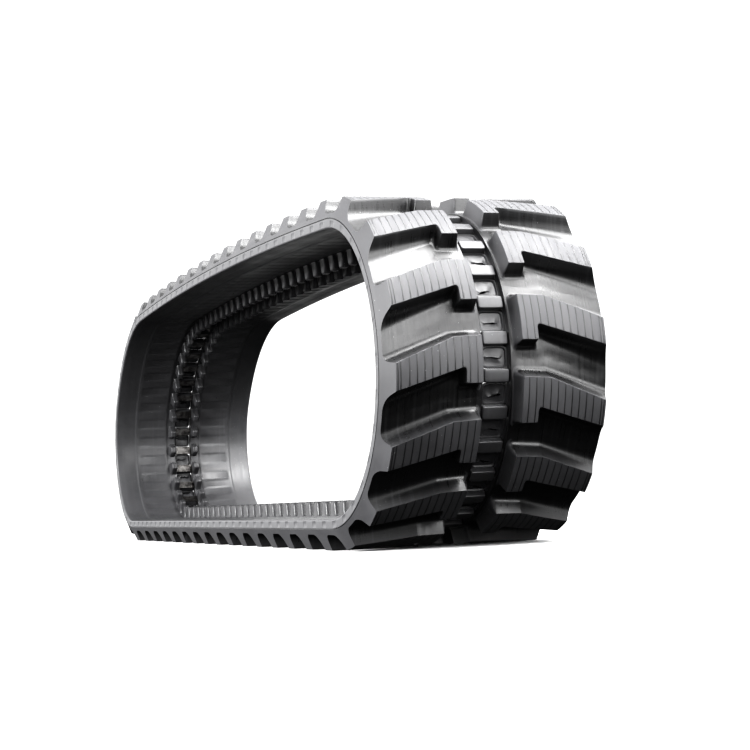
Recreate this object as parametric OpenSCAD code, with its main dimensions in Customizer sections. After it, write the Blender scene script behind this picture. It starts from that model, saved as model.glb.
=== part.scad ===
// Rubber track for a small excavator: an endless belt of moulded rubber over forged steel cores,
// standing on the ground as a loose loop. X is the travel direction, Y the width, Z up. The origin
// is on the ground, under the middle of the loop. The belt is cut into sections that hinge on its
// cord line, so that the loop can be squashed and sprung like the real one.

/* [Size] */
// Pitch: spacing of the cores along the cord line
pitch = 52.5; // [52:0.25:54]
// Number of links in the bottom run; the other sections hold 60 more
bottom_links = 30; // [26:2:34]
// Width of the belt
belt_w = 350; // [340:1:370]

/* [Loop as it stands] */
// Radius of the cord line at the lower front
front_low_r = 268; // [260:1:276]
// Radius of the cord line at the upper front
front_high_r = 230; // [222:1:238]
// Radius of the cord line at the lower rear
rear_low_r = 195; // [187:1:203]
// Heading of the cord line where the front radius changes, in degrees
front_turn = 47; // [44:1:50]
// Heading where the top run starts, in degrees
top_start = 176; // [175.5:0.1:176.5]
// Heading where the top run ends, in degrees
top_end = 181.4; // [181:0.1:182]
// Heading where the rear radius changes, in degrees
rear_turn = 234; // [232:1:236]

/* [Belt section, heights from the cord line] */
// Height of a tread lug's tip, outwards
tip_h = 33.5; // [28:0.5:36]
// Height of the tread's valley floor, outwards
valley_h = 8.5; // [7:0.5:10]
// Depth of the roller path, inwards
roller_h = 16.5; // [15:0.5:20]
// How far the roller path stands proud of the rest of the inner face
path_step = 1; // [0.5:0.25:2]
// Inner edge of the roller path, from the belt's middle
path_in = 42; // [40:1:46]
// Outer edge of the roller path, from the belt's middle
path_out = 124; // [118:1:130]
// Depth of a guide lug's tip, inwards
guide_h = 42.5; // [38:0.5:46]
// Half the width of the centre strip, where the sprocket windows are
centre_w = 20; // [18:0.5:21]

/* [Tread lugs] */
// How far the lug's outer end leans in between the cord line and its tip
end_draft = 13.75; // [8:0.25:16]
// Inner end of a lug, from the belt's middle
lug_inner = 28.5; // [26:0.5:30]
// Width of the hook at the lug's inner end
hook_w = 30; // [26:0.5:32]
// Where the leading edge bends, from the belt's middle
bend_y = 73; // [68:1:78]
// Reach of the lug forwards of its middle, at the inner end
lug_reach = 36; // [34:0.5:37]
// Reach of the hook backwards of the lug's middle
hook_reach = 28; // [26:0.5:30]
// Lug's middle, forwards of the middle of its own link, in pitches
lug_lead = 0.36; // [0.34:0.01:0.38]

/* [Steel cores] */
// Length of a core across the belt
core_w = 244; // [236:1:252]
// Width of a wing at its root, along the belt
wing_root = 25; // [22:0.5:27]
// Width of a wing at its tip
wing_tip = 20; // [18:0.5:22]
// Rubber between the cords and a wing
wing_cover = 0.5; // [0.4:0.1:1]
// Thickness of a wing
wing_t = 9; // [8:0.5:10]
// Width of the bar that the sprocket drives, along the belt
bar_w = 18; // [16:0.5:19]
// Thickness of that bar
bar_t = 15; // [14:0.25:15.25]
// Thickness of the rubber on the bar's two sides
sleeve_t = 0.8; // [0.6:0.1:1.2]
// Depth of a steel horn's tip, inwards from the cord line
horn_h = 36; // [33:0.5:37]

/* [Cord plies] */
// Thickness of a ply of steel cords
ply_t = 3; // [2.5:0.25:3.5]
// Inner edge of a ply, from the belt's middle
ply_in = 40; // [38:1:44]
// Outer edge of a ply, from the belt's middle
ply_out = 150; // [145:1:155]

/* [Flexing] */
// Clearance that each section gives up at the cord line, where it meets the next
joint_gap = 0.3; // [0.25:0.05:0.4]
// Lean of each section's end face away from its neighbour, in degrees
joint_lean = 2.6; // [2.5:0.1:3]

/* [Hidden] */
// Each section: its name, then its first and last link boundary
SECTIONS = [
    ["bottom_run", 0, bottom_links],
    ["front_1", bottom_links, bottom_links + 4],
    ["front_2", bottom_links + 4, bottom_links + 7],
    ["front_3", bottom_links + 7, bottom_links + 11],
    ["front_4", bottom_links + 11, bottom_links + 14],
    ["top_1", bottom_links + 14, bottom_links + 24],
    ["top_2", bottom_links + 24, bottom_links + 33],
    ["top_3", bottom_links + 33, bottom_links + 42],
    ["rear_4", bottom_links + 42, bottom_links + 46],
    ["rear_3", bottom_links + 46, bottom_links + 51],
    ["rear_2", bottom_links + 51, bottom_links + 55],
    ["rear_1", bottom_links + 55, bottom_links + 60]
];
KINDS = ["tread", "carcass", "cores", "core_jackets", "cord_plies"];

links = bottom_links + 60;
inner_h = roller_h - path_step;
loop_length = links * pitch;
half_w = belt_w / 2;
// The bottom run's last boundary lies this many pitches past the start of the front bend
phase = 0.373;

// ---- The cord line: a straight bottom and five arcs, given by the headings where they meet ----
turns = [0, front_turn, top_start, top_end, rear_turn, 360];
function arc_angle(i) = (turns[i + 1] - turns[i]) * PI / 180;
function run_x(i) = sin(turns[i + 1]) - sin(turns[i]);
function run_z(i) = cos(turns[i]) - cos(turns[i + 1]);
function extra(i) = arc_angle(i) - run_x(i);
// The top and upper rear radii follow from closing the loop at its full length
need_z = -(front_low_r * run_z(0) + front_high_r * run_z(1) + rear_low_r * run_z(4));
need_length = loop_length - front_low_r * extra(0) - front_high_r * extra(1) - rear_low_r * extra(4);
closing = run_z(2) * extra(3) - run_z(3) * extra(2);
top_r = (need_z * extra(3) - run_z(3) * need_length) / closing;
rear_high_r = (run_z(2) * need_length - extra(2) * need_z) / closing;
radii = [front_low_r, front_high_r, top_r, rear_high_r, rear_low_r];
function sum_to(v, n) = n < 0 ? 0 : v[n] + sum_to(v, n - 1);
straight = -sum_to([for (i = [0:4]) radii[i] * run_x(i)], 4);
arc_starts = [for (i = [0:5]) straight + sum_to([for (j = [0:4]) radii[j] * arc_angle(j)], i - 1)];
function arc_of(s, i = 4) = i < 0 || s >= arc_starts[i] ? i : arc_of(s, i - 1);
function arc_heading(s, i) = i < 0 ? 0 : turns[i] + (s - arc_starts[i]) / radii[i] * 180 / PI;
function heading(s) = s >= loop_length ? 360 : arc_heading(s, arc_of(s));
function arc_step(i, a) = radii[i] * [sin(a) - sin(turns[i]), cos(turns[i]) - cos(a)];
function arc_base(i) = i == 0 ? [straight, 0] : arc_base(i - 1) + arc_step(i - 1, turns[i]);
function on_loop(s) = arc_of(s) < 0 ? [s, 0] : arc_base(arc_of(s)) + arc_step(arc_of(s), heading(s));
function along(a) = [cos(a), sin(a)];
function outward(a) = [sin(a), -cos(a)];
function lug_s(k) = edge_s(k) + (0.5 + lug_lead) * pitch;
function tip_x(s, reach) = (on_loop(s % loop_length) + reach * along(heading(s)) + tip_h * outward(heading(s)))[0];
tips = [for (k = [0:links - 1]) for (reach = [-hook_reach - 12, lug_reach]) tip_x(lug_s(k), reach)];
// The loop's middle comes to X = 0, and the lug tips of the bottom run to Z = 0
shift = [-(max(tips) + min(tips)) / 2, tip_h];
function cord(s) = on_loop(s >= loop_length ? s - loop_length : s) + shift;

// ---- Links: flat pieces of belt between the boundaries ----
function edge_s(k) = straight + (phase + k - bottom_links) * pitch;
edges = [for (k = [-1:links + 1]) cord(edge_s(k))];
function edge(k) = edges[k + 1];
function near(a, goal) = a + 360 * round((goal - a) / 360);
function chord_heading(d, goal) = near(atan2(d[1], d[0]), goal);
link_headings = [for (k = [-1:links]) chord_heading(edge(k + 1) - edge(k), heading(edge_s(k + 0.5)))];
function link_heading(k) = link_headings[k + 1];
function bend(k) = link_heading(k) - link_heading(k - 1);
// Shapes are drawn from the section's own first boundary, which $base holds
function rim(k, h) = edge(k) - $base + h / cos(bend(k) / 2) * outward(link_heading(k) - bend(k) / 2);
function give(h) = joint_gap + abs(h) * tan(joint_lean);
function first_face(k, h, past = 0) = rim(k, h) + (give(h) - past) * along(link_heading(k));
function last_face(k, h, past = 0) = rim(k, h) - (give(h) - past) * along(link_heading(k - 1));

module in_section(section) {
    $base = edge(section[1]);
    translate([$base[0], 0, $base[1]]) children();
}
module across(y0, y1) translate([0, y1, 0]) rotate([90, 0, 0]) linear_extrude(y1 - y0) children();
module both_sides() { children(); mirror([0, 1, 0]) children(); }
module on_link(k) {
    middle = (edge(k) + edge(k + 1)) / 2 - $base;
    translate([middle[0], 0, middle[1]]) rotate([0, -link_heading(k), 0]) children();
}

// A strip of belt between two heights, over one section, with its end faces leaning back. A strip
// that is cut away, or is trimmed later, runs past those faces.
module strip(section, h0, h1, past = 0) {
    heights = h0 < 0 && h1 > 0 ? [h0, 0, h1] : [h0, h1];
    first = [for (h = heights) first_face(section[1], h, past)];
    last = [for (i = [len(heights) - 1:-1:0]) last_face(section[2], heights[i], past)];
    inner = [for (k = [section[2] - 1:-1:section[1] + 1]) rim(k, h0)];
    outer = [for (k = [section[1] + 1:section[2] - 1]) rim(k, h1)];
    polygon(concat(first, outer, last, inner));
}

// ---- Steel core: two wings, the driven bar and two guide horns, heights turned inwards ----
// A horn's two faces, from the belt's middle, and half its length at its root and its tip
horn_faces = [24, 34];
horn_ends = [11, 6];
// The same for the rubber guide lug that covers it
guide_faces = [centre_w, 38];
guide_ends = [17, 10];
module wing() {
    root = wing_root / 2;
    tip = wing_tip / 2;
    outline = [[-root, centre_w], [root, centre_w], [tip, core_w / 2], [-tip, core_w / 2]];
    translate([0, 0, ply_t / 2 + wing_cover]) linear_extrude(wing_t) polygon(outline);
}
module taper(h0, h1, ends) polygon([[-ends[0], h0], [ends[0], h0], [ends[1], h1], [-ends[1], h1]]);
module horn() {
    root_z = ply_t / 2 + wing_t / 2;
    across(horn_faces[0], horn_faces[1]) taper(root_z, horn_h, horn_ends);
}
module core() {
    driven_bar();
    both_sides() { wing(); horn(); }
}

// ---- Rubber over the cores: two guide lugs, and a sleeve on the bar that is a raised pad on the
// ground side and leaves the bar's inner face bare ----
module guide_lug() {
    difference() {
        across(guide_faces[0], guide_faces[1]) taper(inner_h, guide_h, guide_ends);
        horn();
    }
}
module driven_bar() {
    translate([-bar_w / 2, -centre_w, 0]) cube([bar_w, 2 * centre_w, bar_t]);
}
module bar_sleeve() {
    width = bar_w + 2 * sleeve_t;
    pad_h = valley_h - 0.5;
    difference() {
        translate([-width / 2, -centre_w, -pad_h]) cube([width, 2 * centre_w, pad_h + bar_t]);
        // the bar, and the open side of the sleeve
        translate([-bar_w / 2, -belt_w / 2, 0]) cube([bar_w, belt_w, 2 * bar_t]);
    }
}

// ---- Tread lug: a slanted bar with a hook at its inner end ----
// Slopes of the bar's leading and trailing edges, along the belt per millimetre across it
lead_slope = 0.33;
trail_slope = 0.275;
// Depth at which a lug is rooted in the tread, and how far the bar's trailing edge lies behind
lug_root = 2.5;
trail_reach = 8;
module lug_outline() {
    hook_out = lug_inner + hook_w;
    lead_out = lug_reach - 2 - lead_slope * (half_w - bend_y);
    trail_out = -trail_reach - trail_slope * (half_w - hook_out);
    polygon([
        [lead_out, half_w], [lug_reach - 2, bend_y], [lug_reach, lug_inner], [-hook_reach, lug_inner],
        [-hook_reach, hook_out], [-trail_reach, hook_out], [trail_out, half_w]
    ]);
}
module lug(k) {
    place = cord(lug_s(k)) - $base;
    translate([place[0], 0, place[1]]) rotate([0, -heading(lug_s(k)), 0])
        mirror([0, k % 2 == 0 ? 1 : 0, 0]) difference() {
            translate([0, 0, -tip_h]) linear_extrude(tip_h - lug_root) lug_outline();
            // the leaning outer end
            rotate([90, 0, 90]) linear_extrude(4 * pitch, center = true)
                polygon([[half_w, 0], [half_w + 10, 0], [half_w + 10, -tip_h - 10],
                    [half_w - end_draft * (tip_h + 10) / tip_h, -tip_h - 10]]);
        }
}
// What lies past a section's end face: a lug that crosses the joint is cut there
module past_end(k, side) {
    far = side * 2 * pitch * along(link_heading(side < 0 ? k : k - 1));
    face = [for (h = [-40, 0, 50]) side < 0 ? first_face(k, h) : last_face(k, h)];
    across(-half_w - 1, half_w + 1) polygon(concat(face, [face[2] + far, face[0] + far]));
}

// ---- The nodes of one section ----
module tread(section) {
    color([0.16, 0.16, 0.17]) difference() {
        union() {
            both_sides() across(centre_w, half_w) strip(section, ply_t / 2, valley_h, 5);
            for (k = [section[1] - 1:section[2] - 1]) lug(k);
        }
        past_end(section[1], -1);
        past_end(section[2], 1);
        // the lugs of a loop that stands on the ground are flat to it
        translate([-loop_length, -belt_w, -$base[1] - pitch]) cube([2 * loop_length, 2 * belt_w, pitch]);
    }
}
module plies(section, past = 0) {
    both_sides() across(ply_in, ply_out) strip(section, -ply_t / 2, ply_t / 2 + past, past);
}
// How deep the roller path is rooted in the strip behind it, and how far short of its ends it stops
path_root = 3;
path_short = 0.5;
module carcass(section) {
    color([0.09, 0.09, 0.1]) difference() {
        both_sides() {
            across(centre_w, half_w) strip(section, -inner_h, ply_t / 2);
            across(path_in, path_out) strip(section, -roller_h, -inner_h + path_root, -path_short);
        }
        plies(section, 1);
        for (k = [section[1]:section[2] - 1]) on_link(k) both_sides() { wing(); horn(); }
    }
}
module cores(section) {
    color([0.55, 0.55, 0.57]) for (k = [section[1]:section[2] - 1]) on_link(k) core();
}
module core_jackets(section) {
    color([0.2, 0.2, 0.21]) for (k = [section[1]:section[2] - 1]) on_link(k) {
        both_sides() guide_lug();
        bar_sleeve();
    }
}
module cord_plies(section) {
    color([0.7, 0.62, 0.4]) plies(section);
}

for (section = SECTIONS) in_section(section) {
    tread(section);
    carcass(section);
    cores(section);
    core_jackets(section);
    cord_plies(section);
}
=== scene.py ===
"""Looks of the rubber track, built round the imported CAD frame.

The belt's skin is drawn in belt coordinates: s along the cord line, y across the belt and h outwards
from the cord line, all in millimetres. place() bends them round the loop, into metres.
"""

import math
import random

import bmesh
import bpy
import numpy as np
from mathutils import Matrix, Vector
from mathutils.geometry import delaunay_2d_cdt


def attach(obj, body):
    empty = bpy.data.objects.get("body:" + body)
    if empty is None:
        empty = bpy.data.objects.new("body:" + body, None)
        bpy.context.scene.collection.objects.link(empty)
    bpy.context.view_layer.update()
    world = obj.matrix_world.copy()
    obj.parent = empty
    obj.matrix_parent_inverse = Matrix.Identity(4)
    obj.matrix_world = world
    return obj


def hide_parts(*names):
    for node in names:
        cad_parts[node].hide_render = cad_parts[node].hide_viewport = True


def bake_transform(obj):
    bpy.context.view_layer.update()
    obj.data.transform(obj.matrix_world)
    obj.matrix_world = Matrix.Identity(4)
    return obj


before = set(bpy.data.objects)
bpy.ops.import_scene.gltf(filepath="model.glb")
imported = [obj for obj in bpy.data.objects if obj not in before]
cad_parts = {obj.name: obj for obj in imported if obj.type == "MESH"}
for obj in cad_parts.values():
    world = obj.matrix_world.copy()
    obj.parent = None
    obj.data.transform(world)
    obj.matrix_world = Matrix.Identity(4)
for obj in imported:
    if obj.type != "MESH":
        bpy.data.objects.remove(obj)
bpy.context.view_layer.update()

MM = 0.001

# ---- Driving dimensions, as in the CAD, in millimetres and degrees ----
PITCH = 52.5
LINKS = 90
HALF_W = 175.0
CENTRE_W = 20.0
FLOOR_IN = 22.3  # the valley floor's inner edge; a groove parts it from the centre strip
TIP_H = 33.5
FLOOR_H = 8.5
INNER_H = -15.5
PATH_H = -16.5
GUIDE_H = -42.5
END_LEAN = 13.75 / TIP_H  # how fast the belt's side leans in on the tread side
PHASE = 0.373
LUG_LEAD = 0.36
LUG_REACHES = np.array([-40.0, 36.0])  # how far a lug reaches back and forwards from its middle
BOTTOM_LINKS = 30
FRONT_LOW_R, FRONT_HIGH_R, REAR_LOW_R = 268.0, 230.0, 195.0
TURNS = np.radians([0, 47, 176, 181.4, 234, 360])  # headings where the five arcs begin and end

SECTIONS = ["bottom_run", "front_1", "front_2", "front_3", "front_4", "top_1", "top_2", "top_3",
            "rear_4", "rear_3", "rear_2", "rear_1"]
# The link at which each section starts, and last the one where the loop closes
BOUNDS = [0, 30, 34, 37, 41, 44, 54, 63, 72, 76, 81, 85, LINKS]
OPEN_BOUND = 63  # the pivot that the frame leaves open, between top_2 and top_3


# ---- The cord line: a straight bottom and five arcs ----
def close_loop():
    """Radii of the five arcs, with the two long ones worked out from the loop's length and height."""
    angle = np.diff(TURNS)
    run_x = np.diff(np.sin(TURNS))
    run_z = -np.diff(np.cos(TURNS))
    extra = angle - run_x
    known = [(0, FRONT_LOW_R), (1, FRONT_HIGH_R), (4, REAR_LOW_R)]
    need_z = -sum(r * run_z[i] for i, r in known)
    need_length = LINKS * PITCH - sum(r * extra[i] for i, r in known)
    closing = run_z[2] * extra[3] - run_z[3] * extra[2]
    top_r = (need_z * extra[3] - run_z[3] * need_length) / closing
    rear_r = (run_z[2] * need_length - extra[2] * need_z) / closing
    radii = np.array([FRONT_LOW_R, FRONT_HIGH_R, top_r, rear_r, REAR_LOW_R])
    return radii, -float((radii * run_x).sum()), angle


RADII, STRAIGHT, ARC_ANGLES = close_loop()
ARC_STARTS = STRAIGHT + np.concatenate([[0], np.cumsum(RADII * ARC_ANGLES)])
LOOP = LINKS * PITCH
BASE_X = STRAIGHT + np.concatenate([[0], np.cumsum(RADII * np.diff(np.sin(TURNS)))])
BASE_Z = np.concatenate([[0], np.cumsum(-RADII * np.diff(np.cos(TURNS)))])


def cord_line(s):
    """Position and heading on the cord line, before the loop is moved over the origin."""
    s = np.mod(np.asarray(s, float), LOOP)
    arc = np.minimum(np.searchsorted(ARC_STARTS, s, side="right"), len(RADII)) - 1
    on_arc = arc >= 0
    i = np.maximum(arc, 0)
    heading = np.where(on_arc, TURNS[i] + (s - ARC_STARTS[i]) / RADII[i], 0.0)
    x = np.where(on_arc, BASE_X[i] + RADII[i] * (np.sin(heading) - np.sin(TURNS[i])), s)
    z = np.where(on_arc, BASE_Z[i] + RADII[i] * (np.cos(TURNS[i]) - np.cos(heading)), 0.0)
    return x, z, heading


def edge_s(k):
    """Where link k starts."""
    return STRAIGHT + (PHASE + k - BOTTOM_LINKS) * PITCH


def lug_s(k):
    """The middle of the lug that starts on link k."""
    return edge_s(k) + (0.5 + LUG_LEAD) * PITCH


def loop_shift():
    """The move along X that brings the middle of the lugs' furthest tips over the origin."""
    s = lug_s(np.arange(LINKS))
    x, _, a = cord_line(s)
    tips = x[:, None] + LUG_REACHES * np.cos(a)[:, None] + TIP_H * np.sin(a)[:, None]
    return -(tips.max() + tips.min()) / 2


SHIFT_X = loop_shift()


def place(s, y, h):
    """Belt coordinates in millimetres to points in the shared frame, in metres."""
    x, z, a = cord_line(s)
    h = np.asarray(h, float)
    return np.stack([(x + SHIFT_X + h * np.sin(a)) * MM, np.asarray(y, float) * MM + 0 * x,
                     (z + TIP_H - h * np.cos(a)) * MM], -1)


def outward(s):
    """The direction away from the loop's inside."""
    a = float(cord_line(s)[2])
    return Vector((math.sin(a), 0, -math.cos(a)))


def along(s):
    """The direction in which s grows."""
    a = float(cord_line(s)[2])
    return Vector((math.cos(a), 0, math.sin(a)))


# ---- Mesh helpers ----
WELD = 0.00002  # points closer than this, in metres, become one
SHARP_DEG = 38


class Skin:
    """Points in belt coordinates, and faces. Each face has how worn and dusty its rubber is, with
    painted shade and painted light in a few places, and a tag: the place along the belt by which it is
    sorted into pieces."""

    def __init__(self):
        self.points = []
        self.faces = []
        self.worn = []
        self.tags = []

    def add(self, points, faces, worn=0.0, tag=0.0):
        base = len(self.points)
        self.points.extend(tuple(p) for p in points)
        self.worn.extend([worn] * len(faces) if np.isscalar(worn) else list(worn))
        self.faces.extend([[base + i for i in f] for f in faces])
        self.tags.extend([tag] * len(faces))

    def grid(self, rows, worn=0.0, tag=0.0, closed=False):
        """Rows of equally many points, joined by quads. worn may be one value for each band."""
        n = len(rows[0])
        bands = [worn] * (len(rows) - 1) if np.isscalar(worn) else worn
        points = [p for row in rows for p in row]
        faces = []
        for r in range(len(rows) - 1):
            for c in range(n if closed else n - 1):
                d = (c + 1) % n
                low, high = r * n, (r + 1) * n
                faces.append([low + c, low + d, high + d, high + c])
        per_band = len(faces) // len(bands)
        self.add(points, faces, [w for w in bands for _ in range(per_band)], tag)

    def moved(self, ds, side):
        """The same skin further along the belt, on the side of positive (1) or negative (-1) y."""
        out = Skin()
        out.points = [(s + ds, side * y, h) for s, y, h in self.points]
        out.faces = [f[::side] for f in self.faces]
        out.worn = list(self.worn)
        out.tags = [ds + t for t in self.tags]
        return out

    def join(self, other):
        base = len(self.points)
        self.points += other.points
        self.worn += other.worn
        self.faces += [[base + i for i in f] for f in other.faces]
        self.tags += other.tags


def to_mesh(name, skin, faces=None):
    """A mesh object of the skin, or of some of its faces, bent round the loop."""
    keep = list(range(len(skin.faces))) if faces is None else faces
    points = np.array(skin.points, float)
    used = sorted({i for f in keep for i in skin.faces[f]})
    index = {old: new for new, old in enumerate(used)}
    co = place(points[used, 0], points[used, 1], points[used, 2])
    mesh = bpy.data.meshes.new(name)
    mesh.from_pydata([tuple(p) for p in co], [], [[index[i] for i in skin.faces[f]] for f in keep])
    worn = mesh.attributes.new("worn", "FLOAT", "FACE")
    worn.data.foreach_set("value", np.array([skin.worn[f] for f in keep], np.float32))
    bm = bmesh.new()
    bm.from_mesh(mesh)
    bmesh.ops.remove_doubles(bm, verts=bm.verts, dist=WELD)
    bmesh.ops.recalc_face_normals(bm, faces=bm.faces)
    bm.to_mesh(mesh)
    bm.free()
    for polygon in mesh.polygons:
        polygon.use_smooth = True
    mesh.set_sharp_from_angle(angle=math.radians(SHARP_DEG))
    obj = bpy.data.objects.new(name, mesh)
    bpy.context.scene.collection.objects.link(obj)
    return obj


def fill(outline, inner):
    """Triangles inside an outline, through some inner points: (points, faces) in the plane."""
    points = [Vector(p) for p in outline] + [Vector(p) for p in inner]
    inside_only = 1
    tolerance = 1e-5
    out = delaunay_2d_cdt(points, [], [list(range(len(outline)))], inside_only, tolerance)
    return [tuple(v) for v in out[0]], [list(f) for f in out[2]]


def inside(point, outline):
    """Whether a point lies inside a closed outline."""
    x, y = point
    hit = False
    for (x0, y0), (x1, y1) in zip(outline, outline[1:] + outline[:1]):
        if (y0 > y) != (y1 > y) and x < (x1 - x0) * (y - y0) / (y1 - y0) + x0:
            hit = not hit
    return hit


def distance(point, line):
    """Distance from a point to a polyline."""
    p = np.array(point)
    a = np.array(line[:-1])
    d = np.array(line[1:]) - a
    t = np.clip(((p - a) * d).sum(1) / np.maximum((d * d).sum(1), 1e-9), 0, 1)
    return float(np.sqrt((((a + t[:, None] * d) - p) ** 2).sum(1)).min())


def scattered(outline, step_x, step_y, gap):
    """Inner points on a staggered grid, clear of the outline by a gap."""
    lo, hi = np.min(outline, axis=0), np.max(outline, axis=0)
    found = []
    for row, y in enumerate(np.arange(lo[1] + step_y / 2, hi[1], step_y)):
        for x in np.arange(lo[0] + step_x * (0.5 if row % 2 else 1.0), hi[0], step_x):
            if inside((x, y), outline) and distance((x, y), outline + outline[:1]) > gap:
                found.append((float(x), float(y)))
    return found


# ---- The tread lug: its top outline, and how its flanks fall to the valley ----
def side_y(h):
    return HALF_W - END_LEAN * h


# Corners of the lug's top, (s, y) from the lug's middle, from its outer leading corner round the
# hook to its outer trailing corner
LUG_CORNERS = [(1.0, side_y(TIP_H)), (31.5, 73), (33.5, 31), (-25.8, 31), (-25.8, 56), (-4.8, 56),
               (-33.7, side_y(TIP_H))]
# Each edge's flank: its draft in degrees and the radius at its foot, at its first and last corner
LUG_FLANKS = [
    ((13, 14), (12, 11)),  # leading edge
    ((12, 11), (16, 9)),  # leading edge of the hook
    ((13, 2), (9, 2)),  # inner end, flared at its leading side
    ((14, 8), (14, 8)),  # hook's tip
    ((8, 5), (8, 5)),  # hook's outer side
    ((14, 10), (24, 25)),  # trailing edge
]
# Each corner's radius at the top, and how fast it grows down the flank. The two corners in the belt's
# side are sharp.
CORNER_R = [(0, 0), (6, 0.3), (1.5, 0.34), (1.5, 0.1), (1.5, 0.1), (5, 0.05), (0, 0)]
CORNER_STEPS = 5
EDGE_STEPS = [12, 5, 7, 3, 3, 13]
TOP_BEVEL = 0.45
# Heights at which the flank is drawn, closer together in the fillet at its foot
LEVELS = [TIP_H, TIP_H - TOP_BEVEL, 29.5, 26, 22.5, 19.5, 17, 15, 13.2, 11.8, 10.6, 9.7, 9.05, 8.65,
          FLOOR_H]


def flank_offset(flank, h):
    """How far the flank stands out from the lug's top edge at a height."""
    if h >= TIP_H:
        return -TOP_BEVEL
    draft, radius = math.radians(flank[0]), flank[1]
    foot = radius * (1 - math.sin(draft))
    if h >= FLOOR_H + foot:
        return (TIP_H - h) * math.tan(draft)
    at_foot = (TIP_H - FLOOR_H - foot) * math.tan(draft)
    rise = min(1.0, (radius - (h - FLOOR_H)) / radius)
    return at_foot + radius * (math.cos(draft) - math.sqrt(max(0.0, 1 - rise * rise)))


def level_corners(h):
    """The lug's corners at a height: each is where its two edges cross, once they have moved out."""
    pts = [Vector(p) for p in LUG_CORNERS]
    normals = []
    for a, b in zip(pts, pts[1:]):
        d = (b - a).normalized()
        # the outline runs with the lug on its right, so outwards is to the left
        normals.append(Vector((-d.y, d.x)))
    side = (Vector((0, 1)), side_y(h) - side_y(TIP_H))
    starts = [(n, flank_offset(flank[0], h)) for n, flank in zip(normals, LUG_FLANKS)]
    ends = [(n, flank_offset(flank[1], h)) for n, flank in zip(normals, LUG_FLANKS)]
    moved = []
    for p, before, after in zip(pts, [side] + ends, starts + [side]):
        both = Matrix((before[0], after[0]))
        moved.append(p + both.inverted() @ Vector((before[1], after[1])))
    return moved


def level_outline(h):
    """The lug's outline at a height, with rounded corners. It has as many points at every height."""
    corners = level_corners(h)
    points = []
    ends = []
    for i, c in enumerate(corners):
        radius = CORNER_R[i][0] + CORNER_R[i][1] * (TIP_H - h)
        if radius == 0:
            ends.append((c, c, c))
            continue
        a, b = (corners[i - 1] - c).normalized(), (corners[i + 1] - c).normalized()
        cut = radius / math.tan(a.angle(b) / 2)
        ends.append((c + a * cut, c, c + b * cut))
    for i, (first, c, last) in enumerate(ends):
        if CORNER_R[i][0]:
            for n in range(CORNER_STEPS + 1):
                t = n / CORNER_STEPS
                points.append(first * (1 - t) ** 2 + c * 2 * t * (1 - t) + last * t * t)
        else:
            points.append(c)
        if i < len(ends) - 1:
            nxt = ends[i + 1][0]
            for n in range(1, EDGE_STEPS[i]):
                points.append(last.lerp(nxt, n / EDGE_STEPS[i]))
    return [(p.x, p.y) for p in points]


RIDGE_GAP = 11.3
RIDGE_FOOT, RIDGE_HALF, RIDGE_H = 0.85, 0.5, 0.3  # half-widths at foot and top, and the height
RIDGE_FIRST, RIDGE_LAST = 8.0, 9.0  # how far the evenly spaced ridges keep from the top's two ends
END_RIDGES = (3.0, 7.2)  # two more ridges, this far from the outer end
# the ridges get a low worn value: glossier rubber, and darker as painted shade on their sides
RIDGE_PAINTED_SHADE = 0.15
INNER_ROWS = (0.4, 1.2)  # two rows of the top face, this far from the inner end
ROW_CLEAR = 0.3  # a row through an outline point keeps this far from the others
TOP_INSET = 1.2
TOP_COLUMNS = 4
INNER_CORNER_S = 4.0  # the inner end is split into a leading and a trailing side near here


def lug_top(outline):
    """The lug's top face, crossed by the thin ridges that the mould's plates leave."""
    pts = np.array(outline)
    inner_end = int(np.argmin(pts[:, 1] + 0.001 * np.abs(pts[:, 0] - INNER_CORNER_S)))
    lead, trail = pts[: inner_end + 1], pts[inner_end:]
    lead = lead[np.argsort(lead[:, 1])]
    trail = trail[np.argsort(trail[:, 1], kind="stable")]
    lo, hi = pts[:, 1].min(), pts[:, 1].max()
    levels = {y: 0.0 for y in (lo, lo + INNER_ROWS[0], lo + INNER_ROWS[1], hi)}
    centres = list(np.arange(lo + RIDGE_FIRST, hi - RIDGE_LAST, RIDGE_GAP))
    centres += [hi - d for d in END_RIDGES]
    for centre in centres:
        for dy, dh in ((RIDGE_FOOT, 0.0), (RIDGE_HALF, RIDGE_H)):
            levels[centre - dy] = levels[centre + dy] = dh
    for y in pts[:, 1]:
        clear = all(abs(y - other) > ROW_CLEAR for other in levels)
        if clear and all(abs(c - y) > RIDGE_FOOT for c in centres):
            levels[float(y)] = 0.0
    rows, worn = [], []
    ys = sorted(levels)
    for y in ys:
        high = float(np.interp(y, lead[:, 1], lead[:, 0]))
        low = float(np.interp(y, trail[:, 1], trail[:, 0]))
        spread = np.linspace(low + TOP_INSET, high - TOP_INSET, TOP_COLUMNS)
        middle = [(u, y, TIP_H + levels[y]) for u in spread]
        rows.append([(low, y, TIP_H)] + middle + [(high, y, TIP_H)])
    for a, b in zip(ys, ys[1:]):
        # bands over a ridge are darker than the top: painted shade on the ridges
        worn.append(RIDGE_PAINTED_SHADE if levels[a] + levels[b] > 0 else 1.0)
    return rows, worn


# Each tread cell holds one lug and the valley floor round it, between two slanted lines
CELL_LINE = [(-68.5, side_y(FLOOR_H)), (-58.0, 110.0), (-46.0, FLOOR_IN)]
SIDE_FOOT = 0.8
SIDE_WORN = 0.7
BAND_WORN = [1.0, 0.2, 0.12, 0.06]  # the bevel and the flank's upper bands; the rest isn't worn
INNER_WALL_Y, INNER_WALL_PAINTED_LIGHT = 31.3, 0.6  # the lugs' inner end walls are dusty, and painted lighter still as painted light for the light that falls on them from the side
FLOOR_SAG = 1.3
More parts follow.
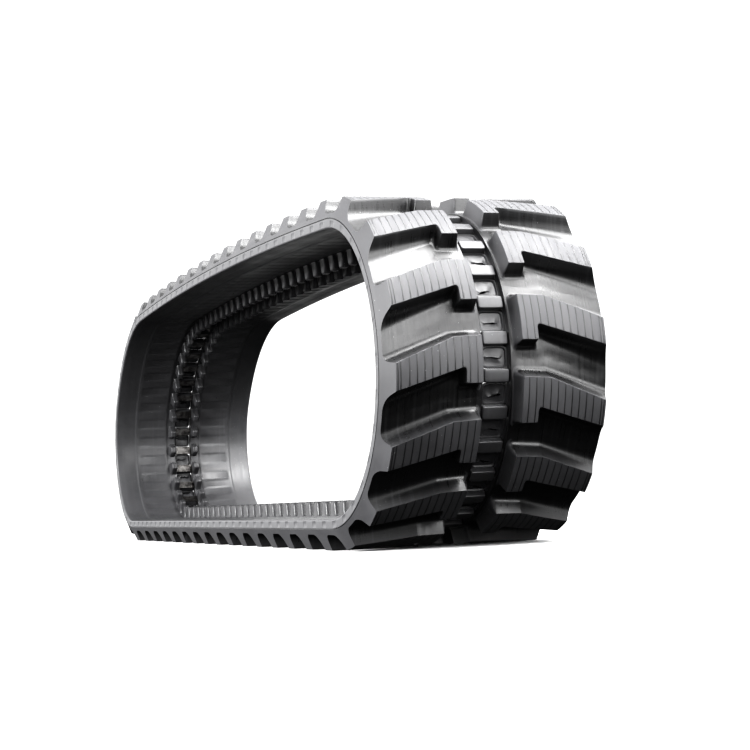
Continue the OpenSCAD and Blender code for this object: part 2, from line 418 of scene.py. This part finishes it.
# How far the sag takes to grow, from the lugs and from the valley's outer and inner edges
SAG_REACH, SAG_REACH_OUTER, SAG_REACH_INNER = 17.0, 14.0, 8.0
CELL_STEP, EDGE_STEP = 8, 7
# Inner points of the floor and of the side wall: steps along and across, and the gap from the outline
FLOOR_GRID = (6, 9, 2.5)
WALL_GRID = (7, 6, 2)


def smooth(t):
    """From 0 to 1 with level ends."""
    t = min(1.0, max(0.0, t))
    return t * t * (3 - 2 * t)


def valley_h(point, foot):
    """The valley floor's height: slightly hollow between the lugs, and level along its two edges."""
    u, v = point
    near = min(distance((u + shift, v), foot) for shift in (-2 * PITCH, 0, 2 * PITCH))
    edge = smooth((side_y(FLOOR_H) - v) / SAG_REACH_OUTER)
    edge *= smooth((v - FLOOR_IN) / SAG_REACH_INNER)
    return FLOOR_H - FLOOR_SAG * smooth(near / SAG_REACH) * edge


def subdivided(points, step):
    """The same polyline with more points, about a step apart."""
    out = []
    for a, b in zip(points, points[1:]):
        a, b = np.array(a), np.array(b)
        n = max(1, round(math.dist(a, b) / step))
        out += [tuple(a + (b - a) * i / n) for i in range(n)]
    return out + [tuple(points[-1])]


def tread_cell():
    """One lug with its valley and side wall, on the side of positive y."""
    cell = Skin()
    outlines = [level_outline(h) for h in LEVELS]
    rows = [[(u, v, h) for u, v in line] for line, h in zip(outlines, LEVELS)]
    cell.grid(rows, BAND_WORN + [0.0] * (len(LEVELS) - 1 - len(BAND_WORN)))
    # inner end walls are made lighter: dust, and painted light
    for i, face in enumerate(cell.faces):
        if max(cell.points[j][1] for j in face) < INNER_WALL_Y and cell.worn[i] < INNER_WALL_PAINTED_LIGHT:
            cell.worn[i] = INNER_WALL_PAINTED_LIGHT
    cell.grid(*lug_top(outlines[0]))

    foot = outlines[-1]
    lower = subdivided(CELL_LINE, CELL_STEP)
    upper = [(u + 2 * PITCH, v) for u, v in reversed(lower)]
    inner_edge = subdivided([lower[-1], upper[0]], EDGE_STEP)[1:-1]
    outer_edge = subdivided([upper[-1], foot[0]], EDGE_STEP)[1:-1]
    last_edge = subdivided([foot[-1], lower[0]], EDGE_STEP)[1:-1]
    outline = lower + inner_edge + upper + outer_edge + foot + last_edge
    points, faces = fill(outline, scattered(outline, *FLOOR_GRID))
    cell.add([(u, v, valley_h((u, v), foot)) for u, v in points], faces, 0.0)

    wall_foot = subdivided([(lower[0][0], SIDE_FOOT), (upper[-1][0], SIDE_FOOT)], EDGE_STEP)
    lead_column = [(line[0][0], h) for line, h in zip(reversed(outlines), reversed(LEVELS))]
    trail_column = [(line[-1][0], h) for line, h in zip(outlines, LEVELS)]
    tip_edge = subdivided([lead_column[-1], trail_column[0]], EDGE_STEP)[1:-1]
    floor_out = [(u, FLOOR_H) for u, _ in outer_edge]
    floor_in = [(u, FLOOR_H) for u, _ in last_edge]
    outline = (wall_foot + [(upper[-1][0], FLOOR_H)] + floor_out + lead_column + tip_edge
               + trail_column + floor_in + [(lower[0][0], FLOOR_H)])
    points, faces = fill(outline, scattered(outline, *WALL_GRID))
    cell.add([(u, side_y(h), h) for u, h in points], faces, SIDE_WORN)
    return cell


# ---- The carcass: its section from the parting groove, round the inner face, to the centre wall ----
CARCASS_LINE = [
    (side_y(SIDE_FOOT), SIDE_FOOT), (173.4, 0.35), (173.3, -0.5), (174.8, -1.0), (HALF_W, -1.8),
    (HALF_W, -3.2), (HALF_W, -4.4), (HALF_W, -11.6), (HALF_W, -12.8), (174.4, -14.2), (173.3, -15.1),
    (171.5, INNER_H), (150, INNER_H), (127.5, INNER_H), (125, INNER_H - 0.15), (124, INNER_H - 0.5),
    (123, INNER_H - 0.85), (121.5, PATH_H), (114, PATH_H), (112.5, PATH_H), (82, PATH_H),
    (50, PATH_H), (48.5, PATH_H), (44.5, PATH_H), (43, INNER_H - 0.85), (42, INNER_H - 0.5),
    (41, INNER_H - 0.15), (39, INNER_H), (23, INNER_H), (21, INNER_H + 0.4), (CENTRE_W, INNER_H + 1.6),
    (CENTRE_W, -7), (CENTRE_W, -2), (CENTRE_W + 0.6, -0.9), (FLOOR_IN - 0.9, -0.4),
    (FLOOR_IN - 0.3, 0.6), (FLOOR_IN - 0.3, 7.2), (FLOOR_IN - 0.2, 8.1), (FLOOR_IN, FLOOR_H),
]
# Columns along one link, from its middle
CARCASS_COLUMNS = [-PITCH / 2, -21, -18.6, -17.6, -13.8, -12.6, -6.5, 0, 6.5, 12.6, 13.8, 17.6, 18.6, 21]
# The roller path is sunk between the cores: from y to y, and from this far from a link's middle
ROLLER_PAD = (50, 112.5, 13.2)
PAD_SINK = 0.45
# The belt's side has recesses between the links: from h to h, and from this far from a link's middle
SIDE_RECESS = (-11.6, -4.4, 18.1)
RECESS_DEPTH = 0.7
GROOVE_Y, SIDE_FACE_Y = 173.0, 172.0  # the parting groove and the side face lie further out than these
GROOVE_BOTTOM, GROOVE_TOP, INNER_FACE_TOP = -1.0, 0.5, -14.0


def carcass_point(k, column, y, h):
    """A point of the carcass, with the shallow pads over the cores and the recesses in its sides."""
    ds = CARCASS_COLUMNS[column]
    if h == PATH_H and ROLLER_PAD[0] <= y <= ROLLER_PAD[1] and abs(ds) > ROLLER_PAD[2]:
        h += PAD_SINK
    if y == HALF_W and SIDE_RECESS[0] <= h <= SIDE_RECESS[1] and abs(ds) > SIDE_RECESS[2]:
        y -= RECESS_DEPTH
    return (edge_s(k + 0.5) + ds, y, h)


def carcass_dust_and_shade(a, b):
    """How dusty the carcass is between two points of its section, with the parting groove painted black
    as painted shade.
    """
    y, h = (a[0] + b[0]) / 2, (a[1] + b[1]) / 2
    if y > GROOVE_Y and h > GROOVE_BOTTOM:
        # the parting groove is painted black: painted shade in the groove
        return 0.0 if h < GROOVE_TOP else SIDE_WORN
    if y > SIDE_FACE_Y:
        return 0.8
    return 0.5 if h < INNER_FACE_TOP else 0.2


def carcass_skin():
    """The carcass round the whole loop, on both sides."""
    skin = Skin()
    section_dust_and_shade = [carcass_dust_and_shade(a, b) for a, b in zip(CARCASS_LINE, CARCASS_LINE[1:])]
    for k in range(LINKS):
        columns = [(k, c) for c in range(len(CARCASS_COLUMNS))] + [(k + 1, 0)]
        for side in (-1, 1):
            rows = []
            for y, h in CARCASS_LINE:
                row = [carcass_point(link, c, y, h) for link, c in columns]
                rows.append([(s, side * y, h) for s, y, h in row])
            skin.grid(rows, section_dust_and_shade, edge_s(k + 0.5))
    return skin


def tread_skin():
    """The tread round the whole loop: a cell from each link, on alternate sides."""
    skin = Skin()
    cell = tread_cell()
    for k in range(LINKS):
        skin.join(cell.moved(lug_s(k), -1 if k % 2 == 0 else 1))
    return skin


# ---- Cutting the skins into pieces that each span one hinge ----
OPEN_GAP = 0.0001  # metres from the open pivot to each end beside it, on the cord line
OPEN_LEAN = 1.4  # degrees by which each of those ends leans back
END_BAND = 0.001  # metres behind a cut end in which points are taken to lie on it


def middle_s(i):
    """The middle of a section along the belt."""
    return edge_s((BOUNDS[i] + BOUNDS[i + 1]) / 2)


def faces_between(skin, low, high):
    """Faces whose link or lug has its middle on this stretch of the loop."""
    tags = np.mod(np.array(skin.tags) - low, LOOP)
    return np.nonzero(tags < (high - low) % LOOP)[0].tolist()


def finish_piece(obj, material):
    obj.data.materials.append(material)


def cut_away(obj, side):
    """Keep one side of the open pivot. The cut leans back, so that the two ends clear each other."""
    s = edge_s(OPEN_BOUND)
    pivot = Vector(place(np.array([s]), np.array([0.0]), np.array([0.0]))[0])
    tangent, up = along(s), outward(s)
    bm = bmesh.new()
    bm.from_mesh(obj.data)
    normal = tangent * side
    bmesh.ops.bisect_plane(bm, geom=bm.verts[:] + bm.edges[:] + bm.faces[:], dist=1e-6,
                           plane_co=pivot - normal * OPEN_GAP, plane_no=normal, clear_outer=True)
    lean = math.tan(math.radians(OPEN_LEAN))
    for v in bm.verts:
        off = (v.co - pivot).dot(normal)
        if off > -OPEN_GAP - END_BAND:
            v.co -= normal * abs((v.co - pivot).dot(up)) * lean
    bm.to_mesh(obj.data)
    bm.free()


def split_skin(skin, kind, material):
    """Pieces from one section's middle to the next one's, each spanning the hinge between them."""
    count = len(SECTIONS)
    for i in range(count):
        a, b = SECTIONS[i], SECTIONS[(i + 1) % count]
        bound = BOUNDS[i + 1]
        low, high = middle_s(i), middle_s((i + 1) % count)
        faces = faces_between(skin, low, high)
        if bound == OPEN_BOUND:
            for body, side in ((a, 1), (b, -1)):
                piece = to_mesh(f"{kind}_{body}_end", skin, faces)
                cut_away(piece, side)
                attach(piece, body)
                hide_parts(f"{body}_{kind}")
                finish_piece(piece, material)
            continue
        piece = to_mesh(f"{kind}_{a}_to_{b}", skin, faces)
        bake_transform(piece)
        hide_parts(f"{a}_{kind}", f"{b}_{kind}")
        finish_piece(piece, material)


# ---- Rubber over the cores: guide lugs, sleeves on the driven bars, torn film in the windows ----
def squircle(n, power):
    """n points round a rounded square of half-width 1."""
    out = []
    for i in range(n):
        a = 2 * math.pi * (i + 0.5) / n
        c, s = math.cos(a), math.sin(a)
        r = (abs(c) ** power + abs(s) ** power) ** (-1 / power)
        out.append((r * c, r * s))
    return out


# (height, half-length along the belt, half-width across it) up a guide lug, inwards
GUIDE_LEVELS = [(INNER_H + 0.5, 18.6, 8.9), (-16.4, 17.4, 8.6), (-18.5, 16.1, 8.2), (-28, 13.6, 7.7),
                (-38.5, 11.2, 7.1), (-41, 10.2, 6.3), (-42.2, 8.6, 5.0), (GUIDE_H, 6.0, 3.2)]
GUIDE_Y = 29.0
# The same down the sleeve on a core's bar, outwards, with the raised pad on the ground side
SLEEVE_LEVELS = [(-15.0, 9.8, 19.95), (-6, 9.8, 19.95), (0, 9.8, 19.8), (6.2, 9.6, 19.3),
                 (7.3, 9.3, 18.9), (7.85, 8.7, 18.3), (8.0, 7.7, 17.3)]
GUIDE_ROUND = squircle(28, 5)
SLEEVE_ROUND = squircle(36, 14)
CAP_SHARE = 0.5  # how large the cap's level middle is beside its rim


def stacked(skin, s, y, levels, ring, worn, crown):
    """Rings one above another, closed by a slightly crowned cap."""
    rows = [[(s + u * half_s, y + v * half_y, h) for u, v in ring] for h, half_s, half_y in levels]
    skin.grid(rows, worn, s, closed=True)
    h, half_s, half_y = levels[-1]
    inner = [(s + u * half_s * CAP_SHARE, y + v * half_y * CAP_SHARE, h + crown) for u, v in ring]
    skin.grid([rows[-1], inner], worn, s, closed=True)
    skin.add(inner, [list(range(len(ring)))], worn, s)


FILM_HALF_S, FILM_HALF_Y = 16.2, 19.98
# Widths of the lip round the film's edge, then of the lip together with the slope inside it
LIP_S, LIP_Y = 2.2, 2.4
SLOPE_S, SLOPE_Y = 3.4, 3.8
FILM_ROUND = squircle(48, 7)
FILM_ROWS = 5
FILM_EDGE, FILM_LIP, FILM_H, FILM_TEAR_H = -0.9, -0.5, -2.8, -2.2
FILM_SAG = 0.5
TEAR_DEPTH = 9.0
DEEP_S, DEEP_Y = 0.8, 0.9  # the slit's size at its bottom beside its size at its rim


def window_film(skin, s, rng):
    """Thin flash left in a sprocket window by the mould: a lip round the edge, and a folded-in slit."""
    lean = rng.uniform(-0.25, 0.25)
    tear_s, tear_y = rng.uniform(-8, -1), rng.uniform(-4, 4)
    tear_a, tear_b = rng.uniform(0.9, 2.2), rng.uniform(6, 12.5)
    waves = [(rng.randint(2, 7), rng.uniform(0, 6.28), rng.uniform(0.05, 0.2)) for _ in range(5)]
    outer, lip, inner, tear, deep = [], [], [], [], []
    for u, v in FILM_ROUND:
        a = math.atan2(v, u)
        wobble = 1 + sum(size * math.sin(times * a + at) for times, at, size in waves)
        tu = tear_s + tear_a * wobble * math.cos(a) + lean * tear_b * math.sin(a)
        tv = tear_y + tear_b * wobble * math.sin(a)
        outer.append((s + u * FILM_HALF_S, v * FILM_HALF_Y, FILM_EDGE))
        lip.append((s + u * (FILM_HALF_S - LIP_S), v * (FILM_HALF_Y - LIP_Y), FILM_LIP))
        inner.append((s + u * (FILM_HALF_S - SLOPE_S), v * (FILM_HALF_Y - SLOPE_Y), FILM_H))
        tear.append((s + tu, tv, FILM_TEAR_H + 0.5 * math.sin(3 * a)))
        deep.append((s + tear_s + (tu - tear_s) * DEEP_S, tear_y + (tv - tear_y) * DEEP_Y, -TEAR_DEPTH))
    rows = [outer, lip, inner]
    start, end = np.array(inner), np.array(tear)
    for r in range(1, FILM_ROWS):
        t = r / FILM_ROWS
        sag = np.array([0, 0, -FILM_SAG * math.sin(math.pi * t)])
        rows.append([tuple(p) for p in start + (end - start) * t + sag])
    rows += [tear, deep]
    # the slit's walls and its floor are painted black: painted shade inside the slit
    skin.grid(rows, [0.5] * (len(rows) - 2) + [0.0], s, closed=True)
    skin.add(deep, [list(range(len(deep)))], 0.0, s)


def jackets(i, rng):
    """The rubber that goes with one section's cores."""
    skin = Skin()
    for k in range(BOUNDS[i], BOUNDS[i + 1]):
        s = edge_s(k + 0.5)
        for side in (-1, 1):
            stacked(skin, s, side * GUIDE_Y, GUIDE_LEVELS, GUIDE_ROUND, worn=0.35, crown=-0.15)
        stacked(skin, s, 0, SLEEVE_LEVELS, SLEEVE_ROUND, worn=0.6, crown=0.1)
        window_film(skin, edge_s(k), rng)
    return skin


# ---- Materials ----
def new_material(name):
    mat = bpy.data.materials.new(name)
    mat.use_nodes = True
    nodes, links = mat.node_tree.nodes, mat.node_tree.links
    nodes.clear()
    out = nodes.new("ShaderNodeOutputMaterial")
    bsdf = nodes.new("ShaderNodeBsdfPrincipled")
    links.new(bsdf.outputs[0], out.inputs[0])
    return mat, nodes, links, bsdf


def noise(nodes, links, vector, scale, detail, rough):
    n = nodes.new("ShaderNodeTexNoise")
    n.inputs["Scale"].default_value = scale
    n.inputs["Detail"].default_value = detail
    n.inputs["Roughness"].default_value = rough
    links.new(vector, n.inputs["Vector"])
    return n.outputs["Fac"]


def ramp(nodes, links, value, low, high, to_low=0.0, to_high=1.0):
    """A clamped straight line from (low, to_low) to (high, to_high)."""
    m = nodes.new("ShaderNodeMapRange")
    m.inputs["From Min"].default_value = low
    m.inputs["From Max"].default_value = high
    m.inputs["To Min"].default_value = to_low
    m.inputs["To Max"].default_value = to_high
    links.new(value, m.inputs["Value"])
    return m.outputs["Result"]


def math_node(nodes, links, kind, a, b):
    m = nodes.new("ShaderNodeMath")
    m.operation = kind
    for socket, value in zip(m.inputs, (a, b)):
        if isinstance(value, (int, float)):
            socket.default_value = value
        else:
            links.new(value, socket)
    return m.outputs[0]


def mix_colour(nodes, links, factor, a, b):
    m = nodes.new("ShaderNodeMix")
    m.data_type = "RGBA"
    links.new(factor, m.inputs["Factor"])
    for socket, value in ((m.inputs[6], a), (m.inputs[7], b)):
        if isinstance(value, tuple):
            socket.default_value = (*value, 1)
        else:
            links.new(value, socket)
    return m.outputs[2]


def object_space(nodes):
    return nodes.new("ShaderNodeTexCoord").outputs["Object"]


def bumps(nodes, links, height, strength, distance, under=None):
    """A normal turned by a height, and by the bumps under it if there are any."""
    m = nodes.new("ShaderNodeBump")
    m.inputs["Strength"].default_value = strength
    m.inputs["Distance"].default_value = distance
    links.new(height, m.inputs["Height"])
    if under is not None:
        links.new(under, m.inputs["Normal"])
    return m.outputs["Normal"]


def long_streaks(nodes, links, at):
    """Noise drawn out along the belt."""
    stretch = nodes.new("ShaderNodeMapping")
    stretch.inputs["Scale"].default_value = (1.5, 55, 1.5)
    links.new(at, stretch.inputs["Vector"])
    return noise(nodes, links, stretch.outputs[0], scale=3, detail=5, rough=0.65)


def specks(nodes, links, at):
    """Small dots, in some areas only."""
    dots = ramp(nodes, links, noise(nodes, links, at, scale=420, detail=2, rough=0.5), 0.735, 0.775)
    areas = ramp(nodes, links, noise(nodes, links, at, scale=9, detail=3, rough=0.5), 0.5, 0.62)
    return math_node(nodes, links, "MULTIPLY", dots, areas)


SPECK_COLOUR = (0.55, 0.55, 0.55)


def rubber(name, glossy, matte, dark, dusty, grain=1.0):
    """Moulded black rubber: glossy as it left the mould, greyer and matte where it is worn, with dust in
    streaks and specks. The worn value also holds painted shade at some places and painted light at
    others."""
    mat, nodes, links, bsdf = new_material(name)
    at = object_space(nodes)
    attribute = nodes.new("ShaderNodeAttribute")
    attribute.attribute_name = "worn"
    worn = attribute.outputs["Fac"]
    cloud = noise(nodes, links, at, scale=14, detail=5, rough=0.65)
    fine = noise(nodes, links, at, scale=700, detail=3, rough=0.6)
    soft = noise(nodes, links, at, scale=45, detail=3, rough=0.5)
    streaks = long_streaks(nodes, links, at)
    patchy = math_node(nodes, links, "MULTIPLY", worn, ramp(nodes, links, cloud, 0.25, 0.6, 0.72, 1.0))
    base = mix_colour(nodes, links, patchy, dark, dusty)
    base = mix_colour(nodes, links, ramp(nodes, links, fine, 0.5, 0.8, 0.0, 0.12), base, dusty)
    base = mix_colour(nodes, links, ramp(nodes, links, streaks, 0.55, 0.75, 0.0, 0.3), base, dusty)
    base = mix_colour(nodes, links, specks(nodes, links, at), base, SPECK_COLOUR)
    links.new(base, bsdf.inputs["Base Color"])
    smear = math_node(nodes, links, "ADD", ramp(nodes, links, cloud, 0.3, 0.7, -0.05, 0.07),
                      ramp(nodes, links, streaks, 0.35, 0.65, -0.05, 0.06))
    rough = ramp(nodes, links, patchy, 0, 1, glossy, matte)
    links.new(math_node(nodes, links, "ADD", rough, smear), bsdf.inputs["Roughness"])
    grains = bumps(nodes, links, fine, strength=0.06 * grain, distance=0.0002)
    normal = bumps(nodes, links, soft, strength=0.05 * grain, distance=0.002, under=grains)
    links.new(normal, bsdf.inputs["Normal"])
    return mat


def forged_steel():
    """Dark forging scale, scuffed brighter in patches."""
    mat, nodes, links, bsdf = new_material("forged_steel")
    at = object_space(nodes)
    scale = noise(nodes, links, at, scale=60, detail=6, rough=0.7)
    scratch = noise(nodes, links, at, scale=300, detail=3, rough=0.8)
    worn = ramp(nodes, links, scale, 0.4, 0.62)
    base = mix_colour(nodes, links, worn, (0.03, 0.028, 0.027), (0.16, 0.155, 0.15))
    links.new(base, bsdf.inputs["Base Color"])
    bsdf.inputs["Metallic"].default_value = 0.9
    links.new(ramp(nodes, links, scratch, 0.3, 0.7, 0.28, 0.55), bsdf.inputs["Roughness"])
    links.new(bumps(nodes, links, scale, strength=0.4, distance=0.0005), bsdf.inputs["Normal"])
    return mat


def cord_bands():
    """Plies of brass-plated cords, which lie inside the belt."""
    mat, nodes, links, bsdf = new_material("cord_bands")
    at = object_space(nodes)
    wave = nodes.new("ShaderNodeTexWave")
    wave.bands_direction = "Y"
    wave.inputs["Scale"].default_value = 80
    links.new(at, wave.inputs["Vector"])
    base = mix_colour(nodes, links, wave.outputs["Fac"], (0.03, 0.03, 0.03), (0.55, 0.42, 0.2))
    links.new(base, bsdf.inputs["Base Color"])
    bsdf.inputs["Metallic"].default_value = 0.7
    bsdf.inputs["Roughness"].default_value = 0.4
    return mat


tread_rubber = rubber("tread_rubber", glossy=0.3, matte=0.6,
                      dark=(0.016, 0.016, 0.0165), dusty=(0.09, 0.09, 0.095))
carcass_rubber = rubber("carcass_rubber", glossy=0.32, matte=0.42,
                        dark=(0.018, 0.018, 0.019), dusty=(0.12, 0.12, 0.125), grain=0.8)
jacket_rubber = rubber("jacket_rubber", glossy=0.3, matte=0.46,
                       dark=(0.018, 0.018, 0.019), dusty=(0.11, 0.11, 0.115))

# ---- Build the pieces ----
split_skin(tread_skin(), "tread", tread_rubber)
split_skin(carcass_skin(), "carcass", carcass_rubber)
FILM_SEED = 7
dice = random.Random(FILM_SEED)
for number, section in enumerate(SECTIONS):
    piece = to_mesh(f"core_rubber_{section}", jackets(number, dice))
    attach(piece, section)
    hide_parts(f"{section}_core_jackets")
    finish_piece(piece, jacket_rubber)
steel, cords = forged_steel(), cord_bands()
for name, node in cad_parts.items():
    if name.endswith("_cores") or name.endswith("_cord_plies"):
        node.data.materials.clear()
        node.data.materials.append(steel if name.endswith("_cores") else cords)


# ---- Floor, light and camera ----
FLOOR_SIZE = 60


def plain(name, colour, roughness=0.9):
    mat, _, _, bsdf = new_material(name)
    bsdf.inputs["Base Color"].default_value = (*colour, 1)
    bsdf.inputs["Roughness"].default_value = roughness
    return mat


bpy.ops.mesh.primitive_plane_add(size=FLOOR_SIZE, location=(0, 0, 0))
floor = bpy.context.object
floor.name = "floor"
floor.data.materials.append(plain("floor", (0.9, 0.9, 0.9)))
# the floor takes shadows but lights nothing, so that the undersides stay nearly black
floor.visible_glossy = False
floor.visible_diffuse = False

SKY_STRENGTH = 1.35
GROUND_STRENGTH = 0.02
SKY_FROM, SKY_TO = -0.22, 0.08  # between these heights of a direction, ground turns into sky


def studio_world():
    """White behind the object; bright above and nearly black below for everything that lights it."""
    world = bpy.data.worlds.new("studio")
    bpy.context.scene.world = world
    world.use_nodes = True
    nodes, links = world.node_tree.nodes, world.node_tree.links
    light = nodes["Background"]
    seen = nodes.new("ShaderNodeBackground")
    path = nodes.new("ShaderNodeLightPath")
    mix = nodes.new("ShaderNodeMixShader")
    split = nodes.new("ShaderNodeSeparateXYZ")
    links.new(nodes.new("ShaderNodeTexCoord").outputs["Generated"], split.inputs[0])
    level = ramp(nodes, links, split.outputs["Z"], SKY_FROM, SKY_TO, GROUND_STRENGTH, SKY_STRENGTH)
    light.inputs["Color"].default_value = (1, 1, 1, 1)
    links.new(level, light.inputs["Strength"])
    seen.inputs["Color"].default_value = (1, 1, 1, 1)
    seen.inputs["Strength"].default_value = 1.0
    links.new(path.outputs["Is Camera Ray"], mix.inputs[0])
    links.new(light.outputs[0], mix.inputs[1])
    links.new(seen.outputs[0], mix.inputs[2])
    links.new(mix.outputs[0], nodes["World Output"].inputs[0])


studio_world()
bpy.context.scene.view_settings.view_transform = "Standard"
bpy.context.scene.view_settings.look = "High Contrast"


def area_light(name, at, target, size, watts):
    """A rectangular lamp at one point, turned towards another."""
    light = bpy.data.lights.new(name, "AREA")
    light.shape = "RECTANGLE"
    light.size, light.size_y = size
    light.energy = watts
    obj = bpy.data.objects.new(name, light)
    obj.location = at
    obj.rotation_euler = (Vector(target) - Vector(at)).to_track_quat("-Z", "Y").to_euler()
    bpy.context.scene.collection.objects.link(obj)
    return obj


area_light("overhead", (1.5, 0.8, 3.0), target=(0.9, 0, 0.35), size=(2.4, 2.0), watts=190)
area_light("camera_left", (0.9, -4.2, 1.5), target=(0.2, 0, 0.3), size=(2.0, 1.6), watts=330)
area_light("front_right", (2.5, 1.6, 2.8), target=(0.9, 0, 0.35), size=(2.4, 1.8), watts=85)
# a low panel that only reflections see, as the valleys that face it are bright beside dark lug tops
panel = area_light("low_panel", (4.0, 1.5, 1.25), target=(1.0, 0, 0.35), size=(2.6, 1.6), watts=90)
panel.visible_diffuse = False

CAMERA_AT = Vector((3.170, -0.919, 0.082))
CAMERA_YAW, CAMERA_PITCH, CAMERA_ROLL = 0.335, 0.074, -0.049
forward = Vector((-math.cos(CAMERA_YAW) * math.cos(CAMERA_PITCH),
                  math.sin(CAMERA_YAW) * math.cos(CAMERA_PITCH), math.sin(CAMERA_PITCH)))
level = forward.cross(Vector((0, 0, 1))).normalized()
upright = level.cross(forward)
right = level * math.cos(CAMERA_ROLL) + upright * math.sin(CAMERA_ROLL)
top = upright * math.cos(CAMERA_ROLL) - level * math.sin(CAMERA_ROLL)
lens = bpy.data.cameras.new("camera")
lens.sensor_width = 36
lens.lens = 78.0
camera = bpy.data.objects.new("camera", lens)
camera.matrix_world = Matrix((
    (right.x, top.x, -forward.x, CAMERA_AT.x), (right.y, top.y, -forward.y, CAMERA_AT.y),
    (right.z, top.z, -forward.z, CAMERA_AT.z), (0, 0, 0, 1)))
bpy.context.scene.collection.objects.link(camera)
bpy.context.scene.camera = camera
